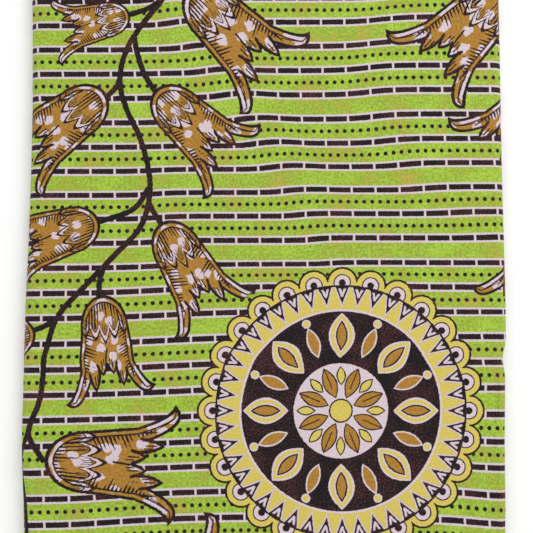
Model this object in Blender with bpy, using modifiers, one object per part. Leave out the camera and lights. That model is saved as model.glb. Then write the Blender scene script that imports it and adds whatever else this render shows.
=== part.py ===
"""A folded length of printed cotton, wound flat in laps and laid on its underside.

The cloth is doubled along its width, then wound into a flat bundle. +X runs across
the laps from one side fold to the other, +Y runs along the doubled width from the
selvedges to the centre fold, and +Z is up. Lengths are in metres. The origin is the
middle of the bounding box, on the plane that the bundle rests on.
"""

import math
from typing import Callable, NamedTuple

import bmesh
import bpy

# The bundle
BUNDLE_WIDTH = 0.458
BUNDLE_LENGTH = 0.580
BUNDLE_THICKNESS = 0.018
FOLD_RADIUS = BUNDLE_THICKNESS / 2

# The doubled cloth of one lap, and the gap that pieces keep to each other
WALL = 0.0012
SEAM = 0.0003

# The outer lap turns under by this much before the underside stretches begin
TURN_UNDER = 0.012

# The free end of the cloth lies on the underside, its cut edge a little askew
SLIT_AT_SELVEDGES = 0.325
SLIT_AT_FOLD = 0.309

# Hidden laps, which show as ridges at both ends of the bundle
LAP_PITCH = 0.0015
LAP_CREST = 0.0010
GROOVE_DEPTH = 0.0045

# The gathered tuck just inside the right fold, and the pinch in that fold
TUCK_FROM = -0.192
TUCK_TO = -0.068
TUCK_HEIGHT = 0.0009
TUCK_REACH = 0.0030
PINCH_Y = -0.088
PINCH_DEPTH = 0.0027
PINCH_REACH = 0.0100

# A low crown of the top layers between the two side folds
CROWN = 0.0011

# Mesh density. The closer rows at the pinch are counted in pinch reaches from its middle,
# and an even row gives way to one of them within the clearance, in the same measure
ROW_SPACING = 0.0215
CLOSER_ROWS = (-2.0, -1.0, -0.5, 0.0, 0.5, 1.0, 2.0)
ROW_CLEARANCE = 0.6
TOP_COLUMNS = 24
UNDER_COLUMNS = 8
END_COLUMNS = 4
ARC_STEPS = 9
SHARP_EDGE = math.radians(40)


class Sway(NamedTuple):
    """How far each side fold lies outside the plain width, at a place along the bundle."""

    y: float
    left: float
    right: float


SWAYS = (
    Sway(y=-0.290, left=-0.0002, right=-0.0040),
    Sway(y=-0.225, left=0.0018, right=-0.0026),
    Sway(y=-0.170, left=0.0043, right=-0.0022),
    Sway(y=-0.118, left=0.0038, right=-0.0010),
    Sway(y=-0.045, left=0.0030, right=0.0006),
    Sway(y=0.020, left=0.0012, right=0.0002),
    Sway(y=0.090, left=-0.0004, right=-0.0008),
    Sway(y=0.160, left=-0.0008, right=-0.0010),
    Sway(y=0.230, left=0.0003, right=-0.0012),
    Sway(y=0.290, left=0.0018, right=-0.0018),
)


class Swell(NamedTuple):
    """A soft rise (or hollow, if the height is negative) of the top layers."""

    x: float
    y: float
    reach_x: float
    reach_y: float
    height: float


SWELLS = (
    Swell(x=-0.120, y=0.185, reach_x=0.100, reach_y=0.070, height=0.0009),
    Swell(x=0.105, y=0.110, reach_x=0.075, reach_y=0.120, height=0.0012),
    Swell(x=-0.165, y=-0.060, reach_x=0.050, reach_y=0.090, height=0.0008),
    Swell(x=0.020, y=-0.030, reach_x=0.060, reach_y=0.060, height=-0.0006),
    Swell(x=-0.040, y=-0.190, reach_x=0.090, reach_y=0.060, height=0.0009),
    Swell(x=0.165, y=-0.215, reach_x=0.050, reach_y=0.050, height=0.0007),
)


class Lap(NamedTuple):
    """One hidden lap, from the outside inwards: how far its ends lie in from the bundle's."""

    name: str
    fold_in: float
    selvedge_in: float


LAPS = (
    Lap(name="second", fold_in=0.0012, selvedge_in=0.0022),
    Lap(name="third", fold_in=0.0026, selvedge_in=0.0009),
    Lap(name="fourth", fold_in=0.0015, selvedge_in=0.0031),
    Lap(name="fifth", fold_in=0.0034, selvedge_in=0.0017),
    Lap(name="innermost", fold_in=0.0021, selvedge_in=0.0028),
)


class Finish(NamedTuple):
    """A plain finish for one piece."""

    color: tuple[float, float, float]
    roughness: float


FACE_FINISH = Finish(color=(0.352, 0.462, 0.066), roughness=0.82)
UNDER_FINISH = Finish(color=(0.325, 0.430, 0.064), roughness=0.84)
END_FINISH = Finish(color=(0.376, 0.221, 0.033), roughness=0.84)
INNER_FINISH = Finish(color=(0.560, 0.530, 0.470), roughness=0.88)


class Spot(NamedTuple):
    """A place round a lap's section.

    along is the share of the way from the left fold's centre to the right one's, and
    angle is the direction from that centre line, in radians from +X.
    """

    along: float
    angle: float


TOP = math.radians(90)
LEFT_TOP = math.radians(-270)
BOTTOM = math.radians(-90)


def smooth_value(table: tuple, y: float, field: str) -> float:
    """Reads a column of a table at y, along one smooth curve through its rows."""
    last = len(table) - 1
    index = 0
    while index < last - 1 and y > table[index + 1].y:
        index += 1

    def slope(row: int) -> float:
        before, after = table[max(row - 1, 0)], table[min(row + 1, last)]
        return (getattr(after, field) - getattr(before, field)) / (after.y - before.y)

    low, high = table[index], table[index + 1]
    span = high.y - low.y
    t = min(max((y - low.y) / span, 0.0), 1.0)
    rise = t * t * (3 - 2 * t)
    lead_in = t * (1 - t) ** 2 * slope(index)
    lead_out = t * t * (t - 1) * slope(index + 1)
    ends = getattr(low, field) * (1 - rise) + getattr(high, field) * rise
    return ends + (lead_in + lead_out) * span


def bell(distance: float, reach: float) -> float:
    """A soft bump: 1 at no distance, falling to about a third at the reach."""
    return math.exp(-((distance / reach) ** 2))


def left_fold(y: float) -> float:
    """Where the left fold's outermost line lies, before the bundle is centred."""
    return -BUNDLE_WIDTH / 2 - smooth_value(SWAYS, y, "left")


def right_fold(y: float) -> float:
    """Where the right fold's outermost line lies, before the bundle is centred."""
    pinch = PINCH_DEPTH * bell(y - PINCH_Y, PINCH_REACH)
    return BUNDLE_WIDTH / 2 + smooth_value(SWAYS, y, "right") - pinch


def rows_along(low: float, high: float) -> list[float]:
    """The stations of a lap along Y, closer together at the pinch."""
    count = math.ceil((high - low) / ROW_SPACING)
    even = [low + (high - low) * step / count for step in range(count + 1)]
    close = [PINCH_Y + PINCH_REACH * step for step in CLOSER_ROWS]
    clearance = PINCH_REACH * ROW_CLEARANCE
    kept = [y for y in even if min(abs(y - other) for other in close) > clearance]
    return sorted(kept + close)


ROWS = rows_along(-BUNDLE_LENGTH / 2, BUNDLE_LENGTH / 2)
CENTRE_X = (min(map(left_fold, ROWS)) + max(map(right_fold, ROWS))) / 2


def top_lift(x: float, y: float, along: float) -> float:
    """How far the top layers stand above the plain section at a place."""
    lift = CROWN * math.sin(math.pi * min(max(along, 0.0), 1.0)) ** 2
    for swell in SWELLS:
        lift += swell.height * bell(x - swell.x, swell.reach_x) * bell(y - swell.y, swell.reach_y)
    return lift


def section_point(y: float, spot: Spot, inset: float) -> tuple[float, float, float]:
    """A point of a lap's section at station y, inset from the outer surface."""
    radius = FOLD_RADIUS - inset
    left, right = left_fold(y) + FOLD_RADIUS, right_fold(y) - FOLD_RADIUS
    x = left + (right - left) * spot.along + radius * math.cos(spot.angle)
    z = FOLD_RADIUS + radius * math.sin(spot.angle)
    share = max(math.sin(spot.angle), 0.0) ** 2
    return x - CENTRE_X, y, z + share * top_lift(x, y, spot.along)


def even_spots(first: Spot, last: Spot, steps: int) -> list[Spot]:
    """Spots from first to last, evenly apart, without the last one."""
    shares = [step / steps for step in range(steps)]
    return [
        Spot(
            first.along + (last.along - first.along) * share,
            first.angle + (last.angle - first.angle) * share,
        )
        for share in shares
    ]


def straight_length(y: float) -> float:
    """The distance between the two folds' centre lines at station y."""
    return right_fold(y) - left_fold(y) - 2 * FOLD_RADIUS


def face_spots(y: float) -> list[Spot]:
    """Round the outer lap: turned under at the left, over the top, turned under at the right."""
    stub = TURN_UNDER / straight_length(y)
    tuck = TUCK_REACH / straight_length(y)
    spots = [Spot(stub, BOTTOM)]
    spots += even_spots(Spot(0, BOTTOM), Spot(0, LEFT_TOP), ARC_STEPS)
    spots += even_spots(Spot(0, TOP), Spot(1 - tuck, TOP), TOP_COLUMNS)
    spots += [Spot(1 - tuck, TOP)]
    spots += even_spots(Spot(1, TOP), Spot(1, BOTTOM), ARC_STEPS)
    return spots + [Spot(1, BOTTOM), Spot(1 - stub, BOTTOM)]


def slit_along(y: float) -> float:
    """Where the free end's cut edge crosses station y, as a share of the straight part."""
    share = y / BUNDLE_LENGTH + 0.5
    return (SLIT_AT_SELVEDGES + (SLIT_AT_FOLD - SLIT_AT_SELVEDGES) * share) / straight_length(y)


def under_spots(y: float) -> list[Spot]:
    """The underside from the free end's cut edge to the left fold."""
    gap = SEAM / straight_length(y)
    stub = TURN_UNDER / straight_length(y)
    first, last = Spot(slit_along(y) - gap / 2, BOTTOM), Spot(stub + gap, BOTTOM)
    return even_spots(first, last, UNDER_COLUMNS) + [last]


def cut_end_spots(y: float) -> list[Spot]:
    """The underside from the right fold to the free end's cut edge."""
    gap = SEAM / straight_length(y)
    stub = TURN_UNDER / straight_length(y)
    first, last = Spot(1 - stub - gap, BOTTOM), Spot(slit_along(y) + gap / 2, BOTTOM)
    return even_spots(first, last, END_COLUMNS) + [last]


def inner_spots() -> list[Spot]:
    """All round a hidden lap, starting at the top left."""
    spots = even_spots(Spot(0, TOP), Spot(1, TOP), TOP_COLUMNS // 2)
    spots += even_spots(Spot(1, TOP), Spot(1, BOTTOM), ARC_STEPS)
    spots += even_spots(Spot(1, BOTTOM), Spot(0, BOTTOM), TOP_COLUMNS // 2)
    return spots + even_spots(Spot(0, BOTTOM), Spot(0, LEFT_TOP), ARC_STEPS)


def tuck_lift(y: float) -> float:
    """Height of the tuck's crest at station y, fading out at both its ends."""
    share = (y - TUCK_FROM) / (TUCK_TO - TUCK_FROM)
    if not 0 < share < 1:
        return 0.0
    return TUCK_HEIGHT * math.sin(math.pi * share) ** 0.5


def make_material(name: str, finish: Finish) -> bpy.types.Material:
    """A plain Principled material for one piece."""
    material = bpy.data.materials.new(name)
    material.use_nodes = True
    shader = material.node_tree.nodes["Principled BSDF"]
    shader.inputs["Base Color"].default_value = (*finish.color, 1.0)
    shader.inputs["Roughness"].default_value = finish.roughness
    shader.inputs["Metallic"].default_value = 0.0
    return material


def add_object(
    name: str, bm: bmesh.types.BMesh, finish: Finish, collection: bpy.types.Collection
) -> bpy.types.Object:
    """Turns a finished bmesh into a named object with its own material."""
    mesh = bpy.data.meshes.new(name)
    bm.to_mesh(mesh)
    bm.free()
    mesh.materials.append(make_material(name, finish))
    piece = bpy.data.objects.new(name, mesh)
    collection.objects.link(piece)
    return piece


def lap_shell(
    name: str,
    spots_at: Callable[[float], list[Spot]],
    crest_column: int | None,
    finish: Finish,
    collection: bpy.types.Collection,
) -> bpy.types.Object:
    """A stretch of the outer lap: a grid laid on the section, thickened inwards."""
    columns, rows = len(spots_at(0.0)) - 1, len(ROWS) - 1
    bm = bmesh.new()
    bmesh.ops.create_grid(bm, x_segments=columns, y_segments=rows, size=0.5)
    for vert in bm.verts:
        column = round((vert.co.x + 0.5) * columns)
        y = ROWS[round((vert.co.y + 0.5) * rows)]
        vert.co = section_point(y, spots_at(y)[column], 0.0)
        if column == crest_column:
            vert.co.z += tuck_lift(y)
    piece = add_object(name, bm, finish, collection)
    piece.data.shade_smooth()
    wall = piece.modifiers.new("Wall", "SOLIDIFY")
    wall.thickness = WALL
    wall.offset = -1.0
    wall.use_even_offset = True
    return piece


def lap_end_profile(end_y: float, inwards: float, field: str) -> list[tuple[float, float]]:
    """Inset and y of each loop over the ridged end, from the outside to the middle."""
    profile = []
    for index, lap in enumerate(LAPS):
        inset = WALL + SEAM + index * LAP_PITCH
        crest_y = end_y + inwards * getattr(lap, field)
        profile += [(inset, crest_y), (inset + LAP_CREST, crest_y)]
        groove = inset + (LAP_CREST + LAP_PITCH) / 2
        profile.append((groove, end_y + inwards * GROOVE_DEPTH))
    return profile


def inner_laps(finish: Finish, collection: bpy.types.Collection) -> bpy.types.Object:
    """The hidden laps as one rounded solid, ridged at both ends where the laps show."""
    end = BUNDLE_LENGTH / 2
    inset = WALL + SEAM
    fold_end = lap_end_profile(end, -1.0, "fold_in")
    selvedge_end = lap_end_profile(-end, 1.0, "selvedge_in")
    body = [(inset, y) for y in ROWS if abs(y) < end - GROOVE_DEPTH]
    profile = selvedge_end[::-1] + body + fold_end
    spots = inner_spots()
    bm = bmesh.new()
    loops = [
        [bm.verts.new(section_point(y, spot, depth)) for spot in spots] for depth, y in profile
    ]
    for near, far in zip(loops, loops[1:]):
        for index in range(len(spots)):
            after = (index + 1) % len(spots)
            bm.faces.new((near[index], near[after], far[after], far[index]))
    bm.faces.new(loops[0][::-1])
    bm.faces.new(loops[-1])
    bmesh.ops.recalc_face_normals(bm, faces=bm.faces)
    piece = add_object("inner_laps", bm, finish, collection)
    piece.data.shade_smooth()
    piece.data.set_sharp_from_angle(angle=SHARP_EDGE)
    return piece


def clear_scene() -> None:
    """Removes the objects that a new file starts with."""
    for item in list(bpy.data.objects):
        bpy.data.objects.remove(item, do_unlink=True)


def main() -> None:
    """Builds the folded cloth, one object for each stretch that shows."""
    clear_scene()
    collection = bpy.data.collections.new("folded_printed_cloth")
    bpy.context.scene.collection.children.link(collection)
    crest = 1 + ARC_STEPS + TOP_COLUMNS + 1
    lap_shell("face_lap", face_spots, crest, FACE_FINISH, collection)
    lap_shell("under_lap", under_spots, None, UNDER_FINISH, collection)
    lap_shell("cut_end", cut_end_spots, None, END_FINISH, collection)
    inner_laps(INNER_FINISH, collection)


main()
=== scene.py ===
"""Looks of a folded length of printed cotton, wound flat in laps and laid on its underside.

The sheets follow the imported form: +X across the laps, +Y from the selvedges to the centre
fold, +Z up, metres. The print is worked out in the cloth's own flat coordinates, so that it
runs over the side folds and round the centre fold as it does on real cloth.
"""

import logging
import math
from dataclasses import dataclass, field
from enum import Enum
from typing import Union

import bpy
import numpy as np
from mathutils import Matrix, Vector

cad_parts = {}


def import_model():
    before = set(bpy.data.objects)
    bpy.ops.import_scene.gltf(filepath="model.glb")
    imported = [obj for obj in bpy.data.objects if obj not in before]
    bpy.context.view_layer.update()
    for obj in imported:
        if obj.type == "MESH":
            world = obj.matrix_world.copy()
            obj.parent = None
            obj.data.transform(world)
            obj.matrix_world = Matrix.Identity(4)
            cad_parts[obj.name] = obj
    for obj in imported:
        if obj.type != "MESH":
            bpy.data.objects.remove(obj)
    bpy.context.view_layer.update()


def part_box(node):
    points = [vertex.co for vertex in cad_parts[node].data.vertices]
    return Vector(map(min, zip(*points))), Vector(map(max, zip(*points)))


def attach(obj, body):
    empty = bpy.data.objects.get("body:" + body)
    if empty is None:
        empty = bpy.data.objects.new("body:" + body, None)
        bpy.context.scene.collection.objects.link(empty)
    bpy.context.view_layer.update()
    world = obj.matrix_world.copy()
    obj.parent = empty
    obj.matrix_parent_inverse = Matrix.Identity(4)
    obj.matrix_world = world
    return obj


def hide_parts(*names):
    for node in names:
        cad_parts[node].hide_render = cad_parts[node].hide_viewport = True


class Ink(Enum):
    """The inks of the print."""

    GREEN = "green"
    PALE = "pale"
    DARK = "dark"
    OCHRE = "ochre"
    YELLOW = "yellow"


LOG = logging.getLogger("folded_cloth")
MM = 0.001
# A distance in millimetres that lies outside every motif and stem.
FAR = 900.0
# A flower's two sides differ in length from here on, and in full at twice this place.
LEAN_FROM = 45.0
Number = Union[float, "Sock"]
Color = tuple[float, float, float]
Pair = tuple[float, float]
Arrays = tuple[np.ndarray, ...]
Swatches = dict[Ink, "Sock"]


@dataclass(frozen=True)
class Sway:
    """How far each side fold lies outside the plain width, at a place along the bundle."""

    y: float
    left: float
    right: float


@dataclass(frozen=True)
class Swell:
    """A soft rise, or a hollow where the height is negative, of the top layers."""

    x: float
    y: float
    reach_x: float
    reach_y: float
    height: float


@dataclass(frozen=True)
class Crease:
    """A soft ridge or trough of the face, from one end to the other."""

    start: Pair
    end: Pair
    height: float
    reach: float


def bell(distance: np.ndarray, reach: float) -> np.ndarray:
    """A soft bump: 1 at no distance, falling to about a third at the reach."""
    return np.exp(-((distance / reach) ** 2))


def soft_step(value: np.ndarray) -> np.ndarray:
    """A smooth rise from 0 to 1, centred on 0."""
    return 0.5 * (1.0 + np.tanh(value))


@dataclass
class BundleForm:
    """The bundle's outer form, and the place on it of any point of the cloth."""

    width: float = 0.458
    length: float = 0.580
    thickness: float = 0.018
    crown: float = 0.0011
    pinch_y: float = -0.088
    pinch_depth: float = 0.0027
    pinch_reach: float = 0.0100
    left_x: float = 0.0
    slit_at_selvedges: float = 0.325
    slit_at_fold: float = 0.309
    slit_run: float = 0.008
    settle_run: float = 0.030
    crease_fade: float = 0.6
    stations: int = 291
    sways: tuple[Sway, ...] = (
        Sway(-0.290, -0.0002, -0.0040),
        Sway(-0.225, 0.0018, -0.0026),
        Sway(-0.170, 0.0043, -0.0022),
        Sway(-0.118, 0.0038, -0.0010),
        Sway(-0.045, 0.0030, 0.0006),
        Sway(0.020, 0.0012, 0.0002),
        Sway(0.090, -0.0004, -0.0008),
        Sway(0.160, -0.0008, -0.0010),
        Sway(0.230, 0.0003, -0.0012),
        Sway(0.290, 0.0018, -0.0018),
    )
    swells: tuple[Swell, ...] = (
        Swell(-0.120, 0.185, 0.100, 0.070, 0.0009),
        Swell(0.105, 0.110, 0.075, 0.120, 0.0012),
        Swell(-0.165, -0.060, 0.050, 0.090, 0.0008),
        Swell(0.020, -0.030, 0.060, 0.060, -0.0006),
        Swell(-0.040, -0.190, 0.090, 0.060, 0.0009),
        Swell(0.165, -0.215, 0.050, 0.050, 0.0007),
    )
    creases: tuple[Crease, ...] = (
        Crease((0.2222, -0.090), (0.2208, -0.150), -0.00090, 0.0008),
        Crease((0.2238, -0.088), (0.2224, -0.152), 0.00040, 0.0009),
        Crease((0.2206, -0.088), (0.2192, -0.152), 0.00040, 0.0009),
        Crease((0.2182, -0.140), (0.2158, -0.190), -0.00080, 0.0009),
        Crease((0.2200, -0.138), (0.2176, -0.196), 0.00035, 0.0010),
        Crease((0.2196, -0.184), (0.2180, -0.284), -0.00070, 0.0010),
        Crease((0.2222, -0.176), (0.2212, -0.288), 0.00060, 0.0018),
        Crease((0.2100, -0.093), (0.2050, -0.112), 0.00045, 0.0022),
        Crease((0.1700, 0.255), (0.1500, 0.110), 0.00035, 0.0130),
        Crease((-0.0350, 0.220), (0.0500, 0.060), 0.00040, 0.0140),
        Crease((0.0900, 0.200), (0.1350, 0.030), -0.00035, 0.0150),
        Crease((-0.2050, 0.120), (-0.1900, -0.020), 0.00030, 0.0090),
        Crease((-0.1200, -0.070), (-0.0300, -0.240), -0.00035, 0.0160),
        Crease((0.1900, -0.060), (0.1750, -0.240), 0.00035, 0.0100),
    )
    sampled: np.ndarray = field(init=False, repr=False)
    shift: float = field(init=False)

    def __post_init__(self) -> None:
        """Samples both folds' lines, and finds how far the bundle is moved to be centred."""
        places = np.linspace(-self.length / 2, self.length / 2, self.stations)
        columns = [[self._smooth(y, name) for y in places] for name in ("left", "right")]
        self.sampled = np.array([places, *columns])
        self.sampled[2] -= self.pinch_depth * bell(places - self.pinch_y, self.pinch_reach)
        self.shift = -self.width / 2 - self.sampled[1].max() - self.left_x

    def _smooth(self, y: float, name: str) -> float:
        """Reads one column of the sways along a smooth curve through the rows.

        Args:
            y: place along the bundle.
            name: the column, left or right.

        Returns:
            The sway there.
        """
        rows, last = self.sways, len(self.sways) - 1
        index = 0
        while index < last - 1 and y > rows[index + 1].y:
            index += 1

        def slope(row: int) -> float:
            """Slope of the curve at a row, from its neighbours."""
            before, after = rows[max(row - 1, 0)], rows[min(row + 1, last)]
            return (getattr(after, name) - getattr(before, name)) / (after.y - before.y)

        span = rows[index + 1].y - rows[index].y
        t = min(max((y - rows[index].y) / span, 0.0), 1.0)
        rise = t * t * (3 - 2 * t)
        ends = getattr(rows[index], name) * (1 - rise) + getattr(rows[index + 1], name) * rise
        leads = t * (1 - t) ** 2 * slope(index) + t * t * (t - 1) * slope(index + 1)
        return ends + leads * span

    def folds(self, y: np.ndarray) -> Arrays:
        """Where both side folds' outermost lines lie.

        Args:
            y: places along the bundle.

        Returns:
            The left and the right fold's x.
        """
        left = -self.width / 2 - np.interp(y, self.sampled[0], self.sampled[1]) - self.shift
        right = self.width / 2 + np.interp(y, self.sampled[0], self.sampled[2]) - self.shift
        return left, right

    def lift(self, x: np.ndarray, y: np.ndarray, along: np.ndarray) -> np.ndarray:
        """How far the top layers stand above the plain section.

        Args:
            x: places across the bundle.
            y: places along it.
            along: shares of the way from the left fold to the right one.

        Returns:
            The heights.
        """
        total = self.crown * np.sin(np.pi * np.clip(along, 0, 1)) ** 2
        for swell in self.swells:
            rise = bell(x - swell.x, swell.reach_x) * bell(y - swell.y, swell.reach_y)
            total = total + swell.height * rise
        return total

    def crease_lift(self, x: np.ndarray, y: np.ndarray) -> np.ndarray:
        """Height of the listed creases of the face.

        Args:
            x: places across the bundle.
            y: places along it.

        Returns:
            The heights.
        """
        total = np.zeros_like(x)
        for crease in self.creases:
            start, end = np.array(crease.start), np.array(crease.end)
            run = end - start
            length = math.hypot(*run)
            share = ((x - start[0]) * run[0] + (y - start[1]) * run[1]) / length**2
            away = ((x - start[0]) * run[1] - (y - start[1]) * run[0]) / length
            fade = np.sin(np.pi * np.clip(share, 0, 1)) ** self.crease_fade
            total += crease.height * bell(away, crease.reach) * fade
        return total

    def slit(self, y: np.ndarray) -> np.ndarray:
        """How far the free end's cut edge lies from the left fold's centre line."""
        share = y / self.length + 0.5
        return self.slit_at_selvedges + (self.slit_at_fold - self.slit_at_selvedges) * share

    def over_cut_end(self, inwards: np.ndarray, y: np.ndarray) -> np.ndarray:
        """Share of its full rise that the underside has where it climbs on to the cut end.

        Args:
            inwards: distance from the left fold's centre line.
            y: places along the bundle.

        Returns:
            0 before the cut edge, 1 past it, and 0 again at the right fold.
        """
        climb = np.clip((inwards - self.slit(y)) / self.slit_run + 1, 0, 1)
        fall = np.clip((self.width - self.thickness - inwards) / self.settle_run, 0, 1)
        return climb**2 * (3 - 2 * climb) * fall**2 * (3 - 2 * fall)

    def place(
        self,
        u: np.ndarray,
        y: np.ndarray,
        base: float,
        depth: np.ndarray,
        creased: bool = False,
        raised: float = 0.0,
    ) -> np.ndarray:
        """Puts points of a lap on the bundle.

        Args:
            u: distance round the lap from the middle of its top, positive to the right.
            y: places along the bundle.
            base: how deep in the bundle this lap's own surface lies.
            depth: how far each point lies below that surface.
            creased: whether the face's creases show on this lap.
            raised: how far this lap's underside climbs on to the free end of the cloth.

        Returns:
            The points, with x, y and z along the last axis.
        """
        left, right = self.folds(y)
        half = self.thickness / 2
        run, middle = (right - left) / 2 - half, (right + left) / 2
        bend = half - base
        away = np.abs(u)
        angle = np.clip((away - run) / bend, 0, np.pi)
        beyond = np.maximum(away - run - np.pi * bend, 0)
        radius = bend - depth
        reach = np.minimum(away, run) - beyond + radius * np.sin(angle)
        x = middle + np.sign(u) * reach
        z = half + radius * np.cos(angle)
        share = np.clip(np.cos(angle), 0, 1) ** 2
        along = (x - middle + run) / (2 * run)
        rise = self.lift(x + self.shift, y, along)
        if creased:
            rise = rise + self.crease_lift(x, y)
        below = np.clip(-np.cos(angle), 0, 1) ** 2
        climb = raised * below * self.over_cut_end(x - middle + run, y)
        return np.stack([x, y, z + share * rise + climb], axis=-1)


class Sock:
    """A value in a material's node tree, which Python's operators work on."""

    def __init__(self, graph: "Graph", socket: bpy.types.NodeSocket) -> None:
        """Wraps one output socket of a node."""
        self.graph = graph
        self.socket = socket

    def _with(self, operation: str, *others: Number) -> "Sock":
        """Adds a Math node that works on this value and then the others."""
        return self.graph.math(operation, self, *others)

    def __add__(self, other: Number) -> "Sock":
        """Sum."""
        return self._with("ADD", other)

    __radd__ = __add__

    def __sub__(self, other: Number) -> "Sock":
        """Difference."""
        return self._with("SUBTRACT", other)

    def __rsub__(self, other: Number) -> "Sock":
        """Reflected difference."""
        return self.graph.math("SUBTRACT", other, self)

    def __mul__(self, other: Number) -> "Sock":
        """Product."""
        return self._with("MULTIPLY", other)

    __rmul__ = __mul__

    def __truediv__(self, other: Number) -> "Sock":
        """Quotient."""
        return self._with("DIVIDE", other)

    def __rtruediv__(self, other: Number) -> "Sock":
        """Reflected quotient."""
        return self.graph.math("DIVIDE", other, self)

    def __mod__(self, other: Number) -> "Sock":
        """Remainder, never negative."""
        return self._with("FLOORED_MODULO", other)

    def __abs__(self) -> "Sock":
        """Size without its sign."""
        return self._with("ABSOLUTE")

    def __and__(self, other: Number) -> "Sock":
        """Where both masks hold."""
        return self._with("MULTIPLY", other)

    def __or__(self, other: Number) -> "Sock":
        """Where either mask holds."""
        return self._with("MAXIMUM", other)

    def at_least(self, other: Number) -> "Sock":
        """The larger of two values."""
        return self._with("MAXIMUM", other)

    def at_most(self, other: Number) -> "Sock":
        """The smaller of two values."""
        return self._with("MINIMUM", other)

    def whole(self) -> "Sock":
        """Rounded down."""
        return self._with("FLOOR")

    def nearest(self) -> "Sock":
        """Rounded to the nearest whole number."""
        return self._with("ROUND")

    def root(self) -> "Sock":
        """Square root."""
        return self._with("SQRT")

    def wave(self) -> "Sock":
        """Triangle wave: 0 at whole numbers and 1 half way between them."""
        return self._with("PINGPONG", 0.5) * 2.0

    def clamped(self, slope: float = 1.0, offset: float = 0.0) -> "Sock":
        """This value times a slope plus an offset, kept within 0 and 1."""
        return self.graph.math("MULTIPLY_ADD", self, slope, offset, clamp=True)

    def under(self, limit: Number, soft: float = 0.45) -> "Sock":
        """A mask that is 1 where the value is below the limit, fading over a soft width."""
        return (self - limit).clamped(-1.0 / soft, 0.5)

    def over(self, limit: Number, soft: float = 0.45) -> "Sock":
        """A mask that is 1 where the value is above the limit, fading over a soft width."""
        return (self - limit).clamped(1.0 / soft, 0.5)

    def within(self, middle: float, half: float, soft: float = 0.45) -> "Sock":
        """A mask that is 1 no further than half from the middle, with soft edges."""
        return abs(self - middle).under(half, soft)


@dataclass
class Graph:
    """Builds one material's node tree, with the print's inks once they are mixed."""

    tree: bpy.types.NodeTree
    inks: Swatches = field(default_factory=dict)

    def add(
        self, kind: str, settings: dict | None = None, inputs: dict | None = None
    ) -> bpy.types.Node:
        """Adds a node.

        Args:
            kind: the node's type.
            settings: properties that are set first.
            inputs: values or links, by the socket's name or number.

        Returns:
            The node.
        """
        node = self.tree.nodes.new(kind)
        for name, value in (settings or {}).items():
            setattr(node, name, value)
        for name, value in (inputs or {}).items():
            self.feed(node.inputs[name], value)
        return node

    def feed(self, socket: bpy.types.NodeSocket, value: object) -> None:
        """Links or sets one input socket.

        Args:
            socket: the input.
            value: a wrapped or plain output, a colour or a number.
        """
        if isinstance(value, Sock):
            self.tree.links.new(value.socket, socket)
        elif isinstance(value, bpy.types.NodeSocket):
            self.tree.links.new(value, socket)
        elif isinstance(value, tuple) and socket.type == "RGBA":
            socket.default_value = (*value, 1.0)
        else:
            socket.default_value = value

    def math(self, operation: str, *values: Number, clamp: bool = False) -> Sock:
        """Adds a Math node.

        Args:
            operation: what the node works out.
            values: its inputs, in order.
            clamp: whether the result is kept within 0 and 1.

        Returns:
            The result.
        """
        settings = {"operation": operation, "use_clamp": clamp}
        node = self.add("ShaderNodeMath", settings, dict(enumerate(values)))
        return Sock(self, node.outputs[0])

    def mix(self, mask: Number, below: object, above: object) -> Sock:
        """Lays one colour over another where the mask holds."""
        node = self.add("ShaderNodeMix", {"data_type": "RGBA"}, {0: mask, 6: below, 7: above})
        return Sock(self, node.outputs[2])

    def paint(self, under: Union[Ink, Sock], *coats: tuple[Sock, Ink]) -> Sock:
        """Lays inks over a colour, one after the other, each where its mask holds.

        Args:
            under: the colour, or the ink of the ground.
            coats: masks, each with its ink.

        Returns:
            The colour with the inks on it.
        """
        color = self.inks[under] if isinstance(under, Ink) else under
        for mask, coat in coats:
            color = self.mix(mask, color, self.inks[coat])
        return color

    def vector(self, x: Number, y: Number, z: Number = 0.0) -> Sock:
        """Joins three values to a vector."""
        node = self.add("ShaderNodeCombineXYZ", inputs={0: x, 1: y, 2: z})
        return Sock(self, node.outputs[0])

    def parts(self, vector: bpy.types.NodeSocket) -> tuple[Sock, Sock, Sock]:
        """Splits a vector into its three values."""
        node = self.add("ShaderNodeSeparateXYZ", inputs={0: vector})
        return tuple(Sock(self, node.outputs[index]) for index in range(3))

    def stored(self, name: str) -> tuple[Sock, Sock, Sock]:
        """Reads the three values of a mesh attribute."""
        node = self.add("ShaderNodeAttribute", {"attribute_name": name})
        return self.parts(node.outputs["Vector"])

    def noise(self, vector: Sock, scale: float, detail: float = 1.0) -> Sock:
        """Soft noise between 0 and 1, at so many swings for each unit of the vector."""
        inputs = {"Vector": vector, "Scale": scale, "Detail": detail}
        return Sock(self, self.add("ShaderNodeTexNoise", inputs=inputs).outputs[0])


def ink(red: int, green: int, blue: int) -> Color:
    """Turns a colour as seen on the cloth into the shader's own measure.

    Args:
        red: how red it is, 0 to 255.
        green: how green it is.
        blue: how blue it is.

    Returns:
        The colour for a shader.
    """
    shares = [value / 255.0 for value in (red, green, blue)]
    return tuple(
        share / 12.92 if share <= 0.04045 else ((share + 0.055) / 1.055) ** 2.4
        for share in shares
    )


@dataclass(frozen=True)
class Inks:
    """The print's colours, and what each is broken up with."""

    green: Color = ink(166, 194, 66)
    leaf: Color = ink(126, 160, 46)
    olive: Color = ink(184, 166, 72)
    pale: Color = ink(208, 198, 204)
    blush: Color = ink(206, 162, 174)
    dark: Color = ink(13, 8, 11)
    russet: Color = ink(84, 42, 42)
    ochre: Color = ink(158, 111, 35)
    amber: Color = ink(176, 135, 62)
    yellow: Color = ink(200, 180, 74)
    straw: Color = ink(212, 196, 116)


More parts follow.
